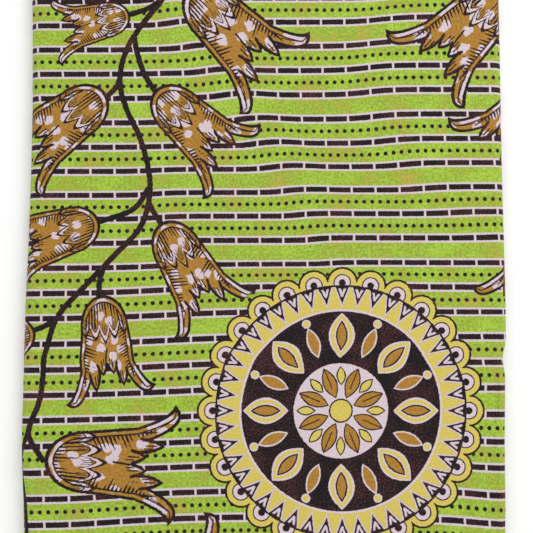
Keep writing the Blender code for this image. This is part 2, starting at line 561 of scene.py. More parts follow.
@dataclass(frozen=True)
class Flower:
    """Where a bell flower is printed: its stem end, and the middle between its tips.

    The tip on its shorter side is on the left seen from the stem end, or on the right where
    it is mirrored. askew is how far that tip falls short, for each unit from the middle, and
    width is how wide the flower is against the others.
    """

    stem_end: Pair
    tips: Pair
    mirrored: bool = False
    askew: float = 0.10
    width: float = 1.0

    def local(self, u: np.ndarray, v: np.ndarray) -> Arrays:
        """Places across and along this flower, in hundredths of its length.

        Args:
            u: places across the cloth.
            v: places along it.

        Returns:
            The places, positive on the shorter side and from the stem end.
        """
        start = np.array(self.stem_end)
        run = np.array(self.tips) - start
        length = math.hypot(*run)
        axis, scale = run / length, 100.0 / length
        du, dv = (u - start[0]) * scale, (v - start[1]) * scale
        side = -1.0 if self.mirrored else 1.0
        across = side * (du * axis[1] - dv * axis[0]) / self.width
        along = du * axis[0] + dv * axis[1]
        lean = np.clip((along - LEAN_FROM) / LEAN_FROM, 0, 1)
        return across, along + self.askew * across * lean


@dataclass(frozen=True)
class Stem:
    """A printed stem through points on the cloth."""

    points: tuple[Pair, ...]

    def curve(self, steps: int = 8) -> np.ndarray:
        """A smooth line through the stem's points.

        Args:
            steps: pieces between each two points.

        Returns:
            The line's points.
        """
        spots = np.array(self.points)
        padded = np.vstack([2 * spots[0] - spots[1], spots, 2 * spots[-1] - spots[-2]])
        line = []
        for p0, p1, p2, p3 in zip(padded, padded[1:], padded[2:], padded[3:]):
            for t in np.arange(steps) / steps:
                lead = (-t + 2 * t**2 - t**3) * p0 + (t**3 - t**2) * p3
                body = (2 - 5 * t**2 + 3 * t**3) * p1 + (t + 4 * t**2 - 3 * t**3) * p2
                line.append(0.5 * (lead + body))
        return np.vstack([line, spots[-1]])

    def measure(self, u: np.ndarray, v: np.ndarray) -> Arrays:
        """Distance to the stem, with a sign for its side.

        Args:
            u: places across the cloth.
            v: places along it.

        Returns:
            The signed distance, and whether the nearest place is one of the stem's ends.
        """
        line = self.curve()
        best = np.full(u.shape, np.inf)
        signed = np.full(u.shape, np.inf)
        at_end = np.zeros(u.shape, bool)
        last = len(line) - 2
        for index, (start, end) in enumerate(zip(line, line[1:])):
            run = end - start
            share = ((u - start[0]) * run[0] + (v - start[1]) * run[1]) / (run @ run)
            held = np.clip(share, 0, 1)
            dx, dy = u - start[0] - held * run[0], v - start[1] - held * run[1]
            distance = np.hypot(dx, dy)
            side = np.where(run[0] * dy - run[1] * dx < 0, -1.0, 1.0)
            nearer = distance < best
            past = ((index == 0) & (share < 0)) | ((index == last) & (share > 1))
            best = np.where(nearer, distance, best)
            signed = np.where(nearer, distance * side, signed)
            at_end = np.where(nearer, past, at_end)
        return signed, at_end


@dataclass(frozen=True)
class Pull:
    """A soft step in the printed rows, in millimetres, where the cloth is pulled askew.

    The step's line passes x at the level y, leans and bows from there, and holds between
    two levels.
    """

    x: float
    height: float
    reach: float
    y: float = 0.0
    lean: float = 0.0
    bow: float = 0.0
    low: float = -2000.0
    high: float = 2000.0
    soft: float = 15.0

    def rise(self, u: np.ndarray, v: np.ndarray) -> np.ndarray:
        """How far the rows are raised.

        Args:
            u: places across the cloth.
            v: places along it.

        Returns:
            The rise at each place.
        """
        away = v - self.y
        middle = self.x + away * (self.lean + self.bow * away)
        held = soft_step((v - self.low) / self.soft) * soft_step((self.high - v) / self.soft)
        return self.height * held * soft_step((u - middle) / self.reach)


@dataclass(frozen=True)
class Slide:
    """A soft shift of the dashes to the right, in millimetres, round a place on the print.

    One that runs onwards holds everywhere to the right of its place.
    """

    u: float
    down: float
    height: float
    reach_u: float
    reach_down: float
    onwards: bool = False

    def shift(self, u: np.ndarray, down: np.ndarray) -> np.ndarray:
        """How far the dashes are shifted.

        Args:
            u: places across the print.
            down: places down it.

        Returns:
            The shift at each place.
        """
        away = u - self.u
        across = soft_step(away / self.reach_u) if self.onwards else bell(away, self.reach_u)
        return self.height * across * bell(down - self.down, self.reach_down)


@dataclass
class PrintLayout:
    """Where everything is printed, in the cloth's flat coordinates.

    u runs across the laps and v along the bundle, both from the face's middle. Rows, pulls
    and slides are in millimetres, motifs in metres, and the room that a flower's faces take
    up is in hundredths of its length.
    """

    row_pitch: float = 23.97
    first_row: float = 259.1
    dash_pitch: float = 23.3
    joint_at: float = -200.5
    lean: float = 0.032
    hump: float = 3.3
    hump_at: float = 8.0
    hump_above: float = 72.0
    hump_below: float = 125.0
    sink: float = 0.4
    stem_reach: float = 0.012
    rosette_reach: float = 0.1400
    flower_middle: float = 53.0
    flower_half: float = 60.0
    bell_room: float = 34.0
    claw_room: float = 20.0
    claws_from: float = 62.0
    claws_run: float = 22.0
    pulls: tuple[Pull, ...] = (
        Pull(-108, 0.9, 20, low=5, soft=12),
        Pull(-108, 2.1, 20, low=-5, high=95, soft=25),
        Pull(-14, 2.5, 13, y=115, lean=-0.674, low=-5, soft=18),
        Pull(-2, 1.9, 13, y=115, lean=-0.674, low=75, soft=30),
        Pull(34, -1.9, 13, y=115, lean=-0.674, low=75, soft=30),
        Pull(96, 5.6, 24, y=184, bow=0.0047, low=60, soft=50),
        Pull(-98, 7.3, 80, high=-2, soft=12),
        Pull(-98, 1.0, 60, high=-90, soft=40),
        Pull(-155, 2.4, 30, high=-180),
        Pull(-60, -1.6, 60, high=-180),
        Pull(195, -3.5, 30, high=-150, soft=20),
        Pull(200, -1.0, 20, high=-195, soft=15),
        Pull(-235, 1.5, 25, low=-190, high=-125, soft=15),
        Pull(-115, -1.5, 25, low=-190, high=-125, soft=15),
        Pull(110, -4.5, 100, high=-224, soft=18),
        Pull(-400, -0.6, 40, low=-42, high=-2, soft=8),
        Pull(130, -1.3, 40, low=-42, high=-2, soft=8),
    )
    slides: tuple[Slide, ...] = (
        Slide(-2000, 160, 2.3, 55, 90, onwards=True),
        Slide(25, 130, -7.2, 55, 150, onwards=True),
        Slide(180, 375, 3.0, 20, 45, onwards=True),
        Slide(-70, 385, 3.4, 75, 110),
        Slide(-90, 510, 3.3, 95, 60),
    )
    rosettes: tuple[Pair, ...] = ((0.073, -0.137), (-0.505, -0.120))
    flowers: tuple[Flower, ...] = (
        Flower((-0.132, 0.246), (-0.202, 0.229)),
        Flower((-0.075, 0.272), (0.0075, 0.187), True, width=0.95),
        Flower((-0.156, 0.169), (-0.2375, 0.108)),
        Flower((-0.108, 0.171), (-0.034, 0.102), True, width=0.95),
        Flower((-0.160, 0.0435), (-0.244, 0.017), width=1.04),
        Flower((-0.101, 0.042), (-0.048, -0.045), True, askew=0.0, width=0.93),
        Flower((-0.157, -0.0275), (-0.1450, -0.1215), True, width=0.96),
        Flower((-0.207, -0.184), (-0.0874, -0.188), True, askew=-0.03, width=0.98),
        Flower((-0.0952, -0.3475), (-0.0193, -0.2685), askew=0.0),
        Flower((0.2389, 0.2745), (0.1554, 0.192), askew=0.0, width=0.98),
        Flower((0.2887, 0.1800), (0.2102, 0.1073), askew=0.0),
        Flower((0.2866, 0.0442), (0.2376, -0.0407), askew=0.0),
        Flower((-0.219, -0.062), (-0.300, -0.086)),
        Flower((-0.345, 0.235), (-0.420, 0.180)),
        Flower((-0.318, 0.190), (-0.264, 0.110), True),
        Flower((-0.354, 0.098), (-0.438, 0.068)),
        Flower((-0.338, -0.112), (-0.288, -0.198), True),
        Flower((0.350, 0.285), (0.340, 0.205)),
        Flower((0.300, -0.060), (0.350, -0.150), True),
    )
    trunks: tuple[Stem, ...] = (
        Stem((
            (-0.092, 0.292), (-0.100, 0.262), (-0.118, 0.239), (-0.135, 0.212),
            (-0.142, 0.182), (-0.136, 0.154), (-0.122, 0.124), (-0.1130, 0.090),
            (-0.1130, 0.062), (-0.122, 0.036), (-0.142, 0.014), (-0.172, -0.018),
            (-0.198, -0.048), (-0.2078, -0.082), (-0.2125, -0.126), (-0.2222, -0.158),
            (-0.208, -0.184),
        )),
        Stem((
            (-0.322, 0.292), (-0.335, 0.235), (-0.326, 0.190), (-0.340, 0.120),
            (-0.350, 0.072), (-0.340, 0.010), (-0.326, -0.050), (-0.338, -0.112),
        )),
    )
    branches: tuple[Stem, ...] = (
        Stem(((-0.101, 0.260), (-0.116, 0.251), (-0.132, 0.246))),
        Stem(((-0.141, 0.186), (-0.145, 0.175), (-0.153, 0.166))),
        Stem(((-0.128, 0.224), (-0.125, 0.207), (-0.118, 0.186), (-0.107, 0.169))),
        Stem(((-0.1130, 0.076), (-0.128, 0.055), (-0.160, 0.043))),
        Stem(((-0.1130, 0.061), (-0.107, 0.050), (-0.100, 0.040))),
        Stem(((-0.155, 0.000), (-0.159, -0.015), (-0.159, -0.032))),
        Stem(((-0.199, -0.049), (-0.208, -0.056), (-0.220, -0.061))),
        Stem((
            (-0.2226, -0.157), (-0.2288, -0.171), (-0.2330, -0.185), (-0.2310, -0.200),
            (-0.2270, -0.222), (-0.2250, -0.247), (-0.2230, -0.275), (-0.2200, -0.292),
        )),
        Stem(((-0.333, 0.248), (-0.338, 0.242), (-0.345, 0.235))),
        Stem(((-0.327, 0.202), (-0.322, 0.197), (-0.318, 0.190))),
        Stem(((-0.343, 0.108), (-0.348, 0.104), (-0.354, 0.098))),
    )

    def stripe_coordinates(self, u: np.ndarray, v: np.ndarray) -> Arrays:
        """Places on the undistorted stripes.

        Args:
            u: places across the cloth, in metres.
            v: places along it, in metres.

        Returns:
            Dashes across from a joint, and rows down from the first one.
        """
        u, v = u / MM, v / MM
        reach = np.where(v > self.hump_at, self.hump_above, self.hump_below)
        down = self.first_row - v - self.sink + self.hump * bell(v - self.hump_at, reach)
        for pull in self.pulls:
            down = down + pull.rise(u, v)
        drift = self.lean * down
        for slide in self.slides:
            drift = drift + slide.shift(u, down)
        return (u - self.joint_at - drift) / self.dash_pitch, down / self.row_pitch

    def motifs(self, u: np.ndarray, v: np.ndarray) -> np.ndarray:
        """Each face corner's place in the motif that its face carries.

        Args:
            u: corners' places across the cloth, a row for each face.
            v: corners' places along it.

        Returns:
            The place across and along the motif, and its number, below 0 for a rosette.
        """
        centre_u, centre_v = u.mean(1), v.mean(1)
        result = np.zeros((*u.shape, 3))
        result[..., :2] = FAR
        nearest = np.full(centre_u.shape, np.inf)
        for middle_u, middle_v in self.rosettes:
            inside = np.hypot(centre_u - middle_u, centre_v - middle_v) < self.rosette_reach
            result[inside, :, 0] = (u[inside] - middle_u) / MM
            result[inside, :, 1] = (v[inside] - middle_v) / MM
            result[inside, :, 2] = -1.0
            nearest[inside] = 0.0
        for number, flower in enumerate(self.flowers, start=1):
            across, along = flower.local(centre_u, centre_v)
            opened = np.clip((along - self.claws_from) / self.claws_run, 0, 1)
            beside = np.abs(across) / (self.bell_room + self.claw_room * opened)
            away = np.maximum(beside, np.abs(along - self.flower_middle) / self.flower_half)
            held = (away < 1) & (away < nearest)
            nearest[held] = away[held]
            result[held, :, 0], result[held, :, 1] = flower.local(u[held], v[held])
            result[held, :, 2] = number
        return result

    def stems(self, u: np.ndarray, v: np.ndarray) -> np.ndarray:
        """How far face corners lie from the trunk and the nearest branch.

        Args:
            u: corners' places across the cloth, a row for each face.
            v: corners' places along it.

        Returns:
            Both distances in millimetres, with a sign for the side, and a free third value.
        """
        result = np.full((*u.shape, 3), FAR)
        for slot, group in enumerate((self.trunks, self.branches)):
            nearest = np.full(u.shape[0], np.inf)
            for stem in group:
                signed, past = stem.measure(u, v)
                loose = past.any(axis=1) | (np.abs(signed).min(axis=1) > self.stem_reach)
                signed = np.where(loose[:, None], np.abs(signed), signed)
                reach = np.abs(signed).mean(axis=1)
                closer = reach < nearest
                nearest = np.where(closer, reach, nearest)
                result[closer, :, slot] = signed[closer] / MM
        return result


@dataclass(frozen=True)
class Spot:
    """A place on a motif, as the shader's values.

    p runs across the motif, a is p without its sign, q runs up it or along it from its stem
    end, and code is the motif's number, below 0 on a rosette.
    """

    g: Graph
    a: Sock
    p: Sock
    q: Sock
    code: Sock


@dataclass(frozen=True)
class Tooth:
    """A pointed tooth of a flower's hem: its middle, widest place, tip and half width."""

    middle: float
    widest: float
    tip: float
    half: float

    def depth(self, at: Spot) -> Sock:
        """How deep a place lies inside the tooth, which is a pointed oval.

        Args:
            at: the place on the flower.

        Returns:
            The depth, above 0 inside.
        """
        share = (at.q - self.widest) / (self.tip - self.widest)
        square = share * share
        half = (1 - square * (square * 0.5 + 0.5)) * self.half
        return (half - abs(at.a - self.middle)) * 0.85


@dataclass(frozen=True)
class BellFlower:
    """The drawing of a bell flower, in hundredths of its length."""

    half_width: float = 25.0
    spread: float = 0.11
    dome: float = 33.0
    claw_from: float = 20.0
    claw_across: float = 49.5
    claw_along: float = 100.0
    claw_bow: float = 0.068
    hem_across: float = 38.5
    hem_along: float = 105.5
    hem_bow: float = 0.058
    cleft: float = 72.0
    cleft_slope: float = 0.9
    calyx: float = 48.0
    calyx_lean: float = 0.42
    calyx_slope: float = 0.62
    tooth: float = 10.4
    tooth_sharp: float = 8.5
    tooth_plain: float = 2.5
    outline: float = 2.5
    rim: float = 4.8
    line: float = 0.6
    fine: float = 0.5
    tip_from: float = 106.5
    dab: float = 0.305
    dab_cell: float = 0.076
    dab_ragged: float = 0.46
    dab_growth: float = 0.12
    dab_from: float = 0.85
    stroke_gap: float = 3.2
    stroke_width: float = 0.66
    stroke_least: float = 0.24
    stroke_length: float = 34.0
    crown_extra: float = 10.0
    strokes_end: float = 86.0
    fan: float = 1.24
    fan_closing: float = 0.008
    side_lean: float = 0.45
    teeth: tuple[Tooth, ...] = (Tooth(5.5, 64.0, 81.0, 6.5), Tooth(14.5, 71.0, 95.0, 6.8))

    def draw(self, at: Spot, under: Sock) -> Sock:
        """Lays the flower over what is under it.

        Args:
            at: the place on the flower.
            under: the colour so far.

        Returns:
            The colour with the flower.
        """
        g, q = at.g, at.q
        edge, claws, calyx = self._edge(at), self._claw_hem(at), self._calyx(at)
        depths = [tooth.depth(at) for tooth in self.teeth]
        hem = claws.at_least((self.cleft - q) * self.cleft_slope)
        for tooth_depth in depths:
            hem = hem.at_least(tooth_depth)
        depth = edge.at_most(hem)
        streak = g.noise(g.vector(q, at.a, at.code * 5.3), 0.065, 0.0)
        rim = edge.under(self.rim + self.line) & hem.over(4.0, 1.0)
        tip = (q + at.a * 0.3).over(self.tip_from, 1.0) & streak.over(0.47, 0.05)
        dark = (
            self._hatching(at, edge, hem)
            | self._calyx_lines(at, calyx)
            | self._tooth_lines(at, edge, depths)
            | ((edge - claws).within(0.0, 0.75) & q.over(self.strokes_end, 1.0))
            | (edge.within(self.rim + self.line, self.line) & hem.over(4.0, 2.0))
            | depth.under(self.outline)
        )
        color = g.paint(
            Ink.OCHRE,
            (self._dabs(at), Ink.PALE),
            (calyx.within(-2.6, 1.3) & streak.over(0.43, 0.05), Ink.PALE),
            (rim, Ink.OCHRE),
            ((rim & streak.over(0.505, 0.03)) | tip, Ink.PALE),
            (dark, Ink.DARK),
        )
        return g.mix(depth.over(0.0) & at.code.over(0.5, 0.1), under, color)

    def _dabs(self, at: Spot) -> Sock:
        """Ragged pale dabs, larger at the tips.

        Args:
            at: the place on the flower.

        Returns:
            The dabs' mask.
        """
        g, shift = at.g, at.code * 37.3
        spots = {"Vector": g.vector(at.p + shift, at.q * 0.8), "Scale": self.dab_cell}
        cells = g.add("ShaderNodeTexVoronoi", {"voronoi_dimensions": "2D"}, spots)
        ragged = (g.noise(g.vector(at.p, at.q, at.code * 11.3), 0.16) - 0.5) * self.dab_ragged
        size = at.q.clamped(0.01, -self.dab_from) * self.dab_growth + self.dab
        return (Sock(g, cells.outputs["Distance"]) + ragged).under(size, 0.04)

    def _edge(self, at: Spot) -> Sock:
        """Depth inside the dome and the long sides, which end in outward claws.

        Args:
            at: the place on the flower.

        Returns:
            The depth, above 0 inside.
        """
        side = (at.q - self.dome).at_least(0.0) * self.spread + self.half_width
        up = (1 - at.q / self.dome).at_least(0.0)
        share = at.p / side
        long_side = (1 - (share * share + up * up).root()) * side
        back = self.claw_across - at.a
        rise = at.q - self.claw_along + back * abs(back) * self.claw_bow
        claw = rise / (abs(back) * (self.claw_bow * 1.2) + 1)
        return long_side.at_least(claw.at_most(at.a - self.claw_from))

    def _claw_hem(self, at: Spot) -> Sock:
        """Depth above the inner curve that runs from the notch to the claw's tip.

        Args:
            at: the place on the flower.

        Returns:
            The depth, above 0 inside.
        """
        away = abs(at.a - self.hem_across)
        drop = self.hem_along - at.q - away * away * self.hem_bow
        return drop / (away * (self.hem_bow * 1.2) + 1)

    def _calyx(self, at: Spot) -> Sock:
        """Distance below the toothed line across the flower.

        Args:
            at: the place on the flower.

        Returns:
            The distance, below 0 above the line.
        """
        tooth = (at.a / self.tooth).wave()
        cut = tooth * (tooth * self.tooth_sharp + self.tooth_plain)
        return (at.q + at.a * self.calyx_lean - self.calyx + cut) * self.calyx_slope

    def _calyx_lines(self, at: Spot, calyx: Sock) -> Sock:
        """The toothed line, a finer one above it and strokes in each tooth.

        Args:
            at: the place on the flower.
            calyx: the distance below the toothed line.

        Returns:
            The lines' mask.
        """
        spine = (at.a / self.tooth).wave() * self.tooth
        beside = spine.within(3.2, self.line) | spine.under(self.line)
        strokes = calyx.within(-8.2, 2.6) & beside
        return calyx.within(0.0, 1.15) | calyx.within(-4.6, self.fine) | strokes

    def _hatching(self, at: Spot, edge: Sock, hem: Sock) -> Sock:
        """Tapering strokes: down from the dome, and in from both long sides.

        Args:
            at: the place on the flower.
            edge: the depth inside the long sides.
            hem: the depth above the hem.

        Returns:
            The strokes' mask.
        """
        crown = at.q.under(self.dome + 1.0, 2.0)
        fan = at.p * (self.fan - at.q * self.fan_closing)
        side = at.q - edge * self.side_lean
        along = fan * crown + side * (1 - crown)
        where = at.g.vector(along, at.code * 3.1, at.p.clamped(0.5, 0.5) * 9.0)
        length = at.g.noise(where, 0.13, 0.0) - self.stroke_least
        length = length * (crown * self.crown_extra + self.stroke_length)
        taper = (1 - (edge - self.rim) / length.at_least(1.5)).at_least(0.0)
        off_line = (along / self.stroke_gap).wave() - taper.root() * self.stroke_width
        inside = edge.over(self.rim) & hem.over(5.0, 2.0) & at.q.under(self.strokes_end, 2.0)
        return off_line.under(0.0, 0.20) & inside

    def _tooth_lines(self, at: Spot, edge: Sock, depths: list[Sock]) -> Sock:
        """Each tooth's own edge over the body, the lines inside it, and the middle fold.

        Args:
            at: the place on the flower.
            edge: the depth inside the long sides.
            depths: the depth inside each tooth.

        Returns:
            The lines' mask.
        """
        a, q = at.a, at.q
        mask = (at.p + (q - 62) * 0.12).within(0.0, 0.85) & q.within(64.0, 10.0)
        for tooth, depth in zip(self.teeth, depths):
            own_edge = depth.within(1.0, 0.95) & q.over(tooth.widest + 4.0) & q.under(tooth.tip)
            stroke = a.within(tooth.middle, self.line) & q.within(tooth.tip - 11.0, 4.5)
            side = a.within(tooth.middle - 2.4, self.fine) & q.within(tooth.tip - 13.5, 3.5)
            mask = mask | own_edge | stroke | side
        return mask & edge.over(self.outline)


@dataclass(frozen=True)
class Polar:
    """A place on a rosette, by its distance from the middle and its share of a turn."""

    g: Graph
    radius: Sock
    turn: Sock

    def spoke(self, count: int, start: float = 0.0) -> tuple[Sock, Sock]:
        """Finds the nearest of so many spokes.

        Args:
            count: how many spokes there are.
            start: how far they are turned, in spokes.

        Returns:
            The place across and along that spoke.
        """
        share = self.turn * count + start
        angle = (share - share.nearest()) * (math.tau / count)
        across = abs(self.radius * self.g.math("SINE", angle))
        return across, self.radius * self.g.math("COSINE", angle)


@dataclass(frozen=True)
class Leaf:
    """A pointed oval leaf along a spoke, between two radii.

    Its coats are inks, each with how deep inside the leaf it begins.
    """

    inner: float
    outer: float
    half: float
    coats: tuple[tuple[float, Ink], ...]

    def masks(self, across: Sock, along: Sock) -> list[tuple[Sock, Ink]]:
        """Where each of the leaf's inks lies.

        Args:
            across: the place across the spoke.
            along: the place along it.

        Returns:
            Masks, each with its ink, from the edge inwards.
        """
        share = (along - (self.inner + self.outer) / 2) / ((self.outer - self.inner) / 2)
        depth = (1 - share * share) * self.half - across
        return [(depth.over(start), coat) for start, coat in self.coats]


@dataclass(frozen=True)
class Rosette:
    """The drawing of a round rosette, in millimetres before it is scaled."""

    scale: float = 0.995
    hub: float = 10.0
    star: float = 45.0
    band: float = 97.0
    fringe: float = 119.0
    leaves: int = 8
    points: int = 44
    scallops: int = 28
    scallop: float = 15.2
    scallop_out: float = 3.0
    scallop_heart: float = 3.4
    fringe_rim: float = 6.0
    bead_in: float = 8.0
    bead: float = 4.2
    bead_heart: float = 2.9
    vein: float = 0.55
    vein_from: float = 22.0
    wide: Leaf = Leaf(
        50.0,
        93.0,
        12.5,
        (
            (0.0, Ink.PALE),
            (1.9, Ink.YELLOW),
            (5.4, Ink.PALE),
            (6.8, Ink.DARK),
            (8.4, Ink.OCHRE),
        ),
    )
    narrow: Leaf = Leaf(54.0, 85.0, 6.2, ((0.0, Ink.PALE), (1.5, Ink.OCHRE)))
    petal: Leaf = Leaf(12.5, 43.5, 7.0, ((0.0, Ink.DARK), (1.4, Ink.OCHRE)))
    drop: Leaf = Leaf(24.0, 42.5, 4.6, ((0.0, Ink.DARK), (1.4, Ink.YELLOW)))

    def draw(self, at: Spot, under: Sock) -> Sock:
        """Lays the rosette over what is under it.

        Args:
            at: the place on the rosette.
            under: the colour so far.

        Returns:
            The colour with the rosette.
        """
        radius = (at.p * at.p + at.q * at.q).root() / self.scale
        spot = Polar(at.g, radius, at.g.math("ARCTAN2", at.q, at.p) / math.tau + 0.5)
        color, outer = self._scallops(spot)
        for ring in (self._dog_teeth, self._leaf_band, self._star):
            color = ring(spot, color)
        return at.g.mix(outer & at.code.under(-0.5, 0.1), under, color)

    def _scallops(self, at: Polar) -> tuple[Sock, Sock]:
        """The scalloped border.

        Args:
            at: the place on the rosette.

        Returns:
            The border's colour, and the mask of everything within it.
        """
        across, along = at.spoke(self.scallops)
        outward = along - (self.fringe + self.scallop_out)
        from_middle = (across * across + outward * outward).root()
        depth = self.scallop - from_middle
        depth = depth.at_least(self.fringe + self.fringe_rim - at.radius)
        color = at.g.paint(
            Ink.PALE,
            (depth.under(7.0), Ink.YELLOW),
            (depth.within(7.4, 0.6) | depth.under(2.0), Ink.DARK),
            (from_middle.under(self.scallop_heart), Ink.DARK),
        )
        return color, depth.over(0.0)

    def _dog_teeth(self, at: Polar, under: Sock) -> Sock:
        """A ring of triangles, yellow pointing out and pale pointing in.

        Args:
            at: the place on the rosette.
            under: the colour so far.

        Returns:
            The colour with the ring.
        """
        share = (at.radius - self.band) / (self.fringe - self.band)
        gap = ((at.turn * self.points).wave() - share) * 6.5
        color = at.g.paint(
            Ink.DARK,
            (gap.over(0.0), Ink.YELLOW),
            (gap.within(-0.6, 0.6), Ink.PALE),
            (gap.within(-3.6, 0.9) & share.within(0.70, 0.18, 0.05), Ink.PALE),
            (at.radius.within(self.fringe, 1.0), Ink.DARK),
        )
        return at.g.mix(at.radius.under(self.fringe + 0.9), under, color)

    def _leaf_band(self, at: Polar, under: Sock) -> Sock:
        """The dark band with broad yellow leaves, narrow ochre ones and pale beads.

        Args:
            at: the place on the rosette.
            under: the colour so far.

        Returns:
            The colour with the band.
        """
        between, outward = at.spoke(self.leaves, 0.5)
        off_bead = outward - (self.band - self.bead_in)
        bead = (between * between + off_bead * off_bead).root()
        color = at.g.paint(
            Ink.DARK,
            *self.wide.masks(*at.spoke(self.leaves)),
            *self.narrow.masks(between, outward),
            (bead.under(self.bead), Ink.PALE),
            (bead.under(self.bead_heart), Ink.YELLOW),
            (at.radius.over(self.band - 2.4), Ink.PALE),
        )
        return at.g.mix(at.radius.under(self.band - 0.4), under, color)

    def _star(self, at: Polar, under: Sock) -> Sock:
        """The hub with ochre leaves round it on a pale ground.

        Args:
            at: the place on the rosette.
            under: the colour so far.

        Returns:
            The colour with the star.
        """
        across, along = at.spoke(self.leaves, 0.5)
        petal = self.petal.masks(across, along)
        inside, _ = petal[-1]
        color = at.g.paint(
            Ink.PALE,
            *self.drop.masks(*at.spoke(self.leaves)),
            *petal,
            (across.under(self.vein) & inside & along.over(self.vein_from), Ink.DARK),
            (at.radius.under(self.hub + 1.5), Ink.DARK),
            (at.radius.under(self.hub), Ink.YELLOW),
        )
        return at.g.mix(at.radius.under(self.star), under, color)


@dataclass(frozen=True)
class PrintedCotton:
    """The printed cloth's finish, with its drawing in millimetres."""

    name: str
    inks: Inks = Inks()
    roughness: float = 0.80
    specular: float = 0.25
    sheen: float = 0.05
    band_half: float = 4.45
    dash_half: float = 2.6
    joint_half: float = 1.05
    dot_radius: float = 2.0
    dots_a_dash: int = 3
    stripes_a_set: int = 3
    ragged: float = 0.9
    stem_half: float = 2.7
    stem_ragged: float = 1.6
    wobble_across: float = 1.3
    wobble_along: float = 0.9
    selvedge: float = 7.0
    thread_gap: float = 0.62
    thread_strength: float = 0.22
    thread_depth: float = 0.0001
    pucker_strength: float = 0.35
    pucker_depth: float = 0.0012
    flower: BellFlower = BellFlower()
    rosette: Rosette = Rosette()

    def build(self, layout: PrintLayout) -> bpy.types.Material:
        """Makes the material.

        Args:
            layout: where the print lies.

        Returns:
            The material.
        """
        material = bpy.data.materials.new(self.name)
        material.use_nodes = True
        g = Graph(material.node_tree)
        shader = material.node_tree.nodes["Principled BSDF"]
        column, row, _ = g.parts(g.add("ShaderNodeUVMap", {"uv_map": "print"}).outputs[0])
        u, v = column * layout.dash_pitch, row * layout.row_pitch
        spot = g.vector(u, v)
        g.inks = self._mixed_inks(g, spot)
        trunk, branch, selvedge = g.stored("lines")
        color = self._stripes(g, column, row, spot, layout)
        color = self._stems(g, spot, abs(trunk).at_most(abs(branch)), color)
        p, q, code = g.stored("motif")
        wobble = g.noise(spot, 0.35) - 0.5
        p, q = p + wobble * self.wobble_across, q + wobble * self.wobble_along
        at = Spot(g, abs(p), p, q, code)
        color = self.rosette.draw(at, self.flower.draw(at, color))
        color = g.paint(color, (selvedge.under(self.selvedge), Ink.PALE))
        g.feed(shader.inputs["Base Color"], color)
        shader.inputs["Roughness"].default_value = self.roughness
        shader.inputs["Specular IOR Level"].default_value = self.specular
        shader.inputs["Sheen Weight"].default_value = self.sheen
        g.feed(shader.inputs["Normal"], self._weave(g, u, v, spot))
        LOG.info("material %s: %d nodes", self.name, len(material.node_tree.nodes))
        return material

    def _mixed_inks(self, g: Graph, spot: Sock) -> Swatches:
        """The print's colours, each broken up as ink on cotton is.

        Args:
            g: the material's graph.
            spot: the place on the print.

        Returns:
            The colour of each ink.
        """
        fine, cloud = g.noise(spot, 0.40, 2.0), g.noise(spot, 0.035, 2.0)
        grain = g.noise(spot, 0.66)
        green = g.mix((fine + cloud * 0.6).clamped(3.6, -2.3), self.inks.green, self.inks.leaf)
        green = g.mix((grain + cloud).clamped(3.6, -3.7), green, self.inks.olive)
        russet = (grain + cloud * 0.5).clamped(5.5, -4.2)
        return {
            Ink.GREEN: green,
            Ink.PALE: g.mix(grain.clamped(3.0, -1.3), self.inks.pale, self.inks.blush),
            Ink.DARK: g.mix(russet, self.inks.dark, self.inks.russet),
            Ink.OCHRE: g.mix(fine.clamped(3.0, -1.2), self.inks.ochre, self.inks.amber),
            Ink.YELLOW: g.mix(grain.clamped(3.0, -1.2), self.inks.yellow, self.inks.straw),
        }

    def _stripes(
        self, g: Graph, column: Sock, row: Sock, spot: Sock, layout: PrintLayout
    ) -> Sock:
        """Green stripes, dashed bands between them, and dots on two stripes of three.

        Args:
            g: the material's graph.
            column: dashes across from a joint.
            row: rows down from the first one.
            spot: the place on the print.
            layout: where the print lies.

        Returns:
            The colour.
        """
        ragged = (g.noise(spot, 0.55) - 0.5) * self.ragged
        off_row = abs(row - row.nearest()) * layout.row_pitch + ragged
        off_joint = abs(column - column.nearest()) * layout.dash_pitch + ragged
        dashes = off_row.under(self.dash_half) & off_joint.over(self.joint_half)
        stripe, dot = row.whole(), column * self.dots_a_dash
        dot_u = (dot - dot.whole() - 0.5) * (layout.dash_pitch / self.dots_a_dash) + ragged * 0.5
        dot_v = (row - stripe - 0.5) * layout.row_pitch + ragged * 0.5
        dotted = abs(stripe % self.stripes_a_set - 1.0).over(0.5, 0.1)
        dots = (dot_u * dot_u + dot_v * dot_v).root().under(self.dot_radius) & dotted
        band = off_row.under(self.band_half)
        return g.paint(Ink.GREEN, (band, Ink.PALE), (dashes | dots, Ink.DARK))

    def _stems(self, g: Graph, spot: Sock, away: Sock, under: Sock) -> Sock:
        """The vine's trunk and branches, drawn by their distance."""
        ragged = (g.noise(spot, 0.30) - 0.5) * self.stem_ragged
        return g.paint(under, ((away + ragged).under(self.stem_half), Ink.DARK))

    def _weave(self, g: Graph, u: Sock, v: Sock, spot: Sock) -> Sock:
        """Fine plain weave over slight puckers.

        Args:
            g: the material's graph.
            u: the place across the print.
            v: the place down it.
            spot: both as a vector.

        Returns:
            The surface's normal.
        """
        warp, weft = [g.math("SINE", place * (math.tau / self.thread_gap)) for place in (u, v)]
        threads = {
            "Strength": self.thread_strength,
            "Distance": self.thread_depth,
            "Height": warp * weft * 0.5 + g.noise(spot, 0.9) * 0.8,
        }
        puckers = {
            "Strength": self.pucker_strength,
            "Distance": self.pucker_depth,
            "Height": g.noise(spot, 0.05, 2.0),
            "Normal": g.add("ShaderNodeBump", inputs=threads).outputs[0],
        }
        return Sock(g, g.add("ShaderNodeBump", inputs=puckers).outputs[0])


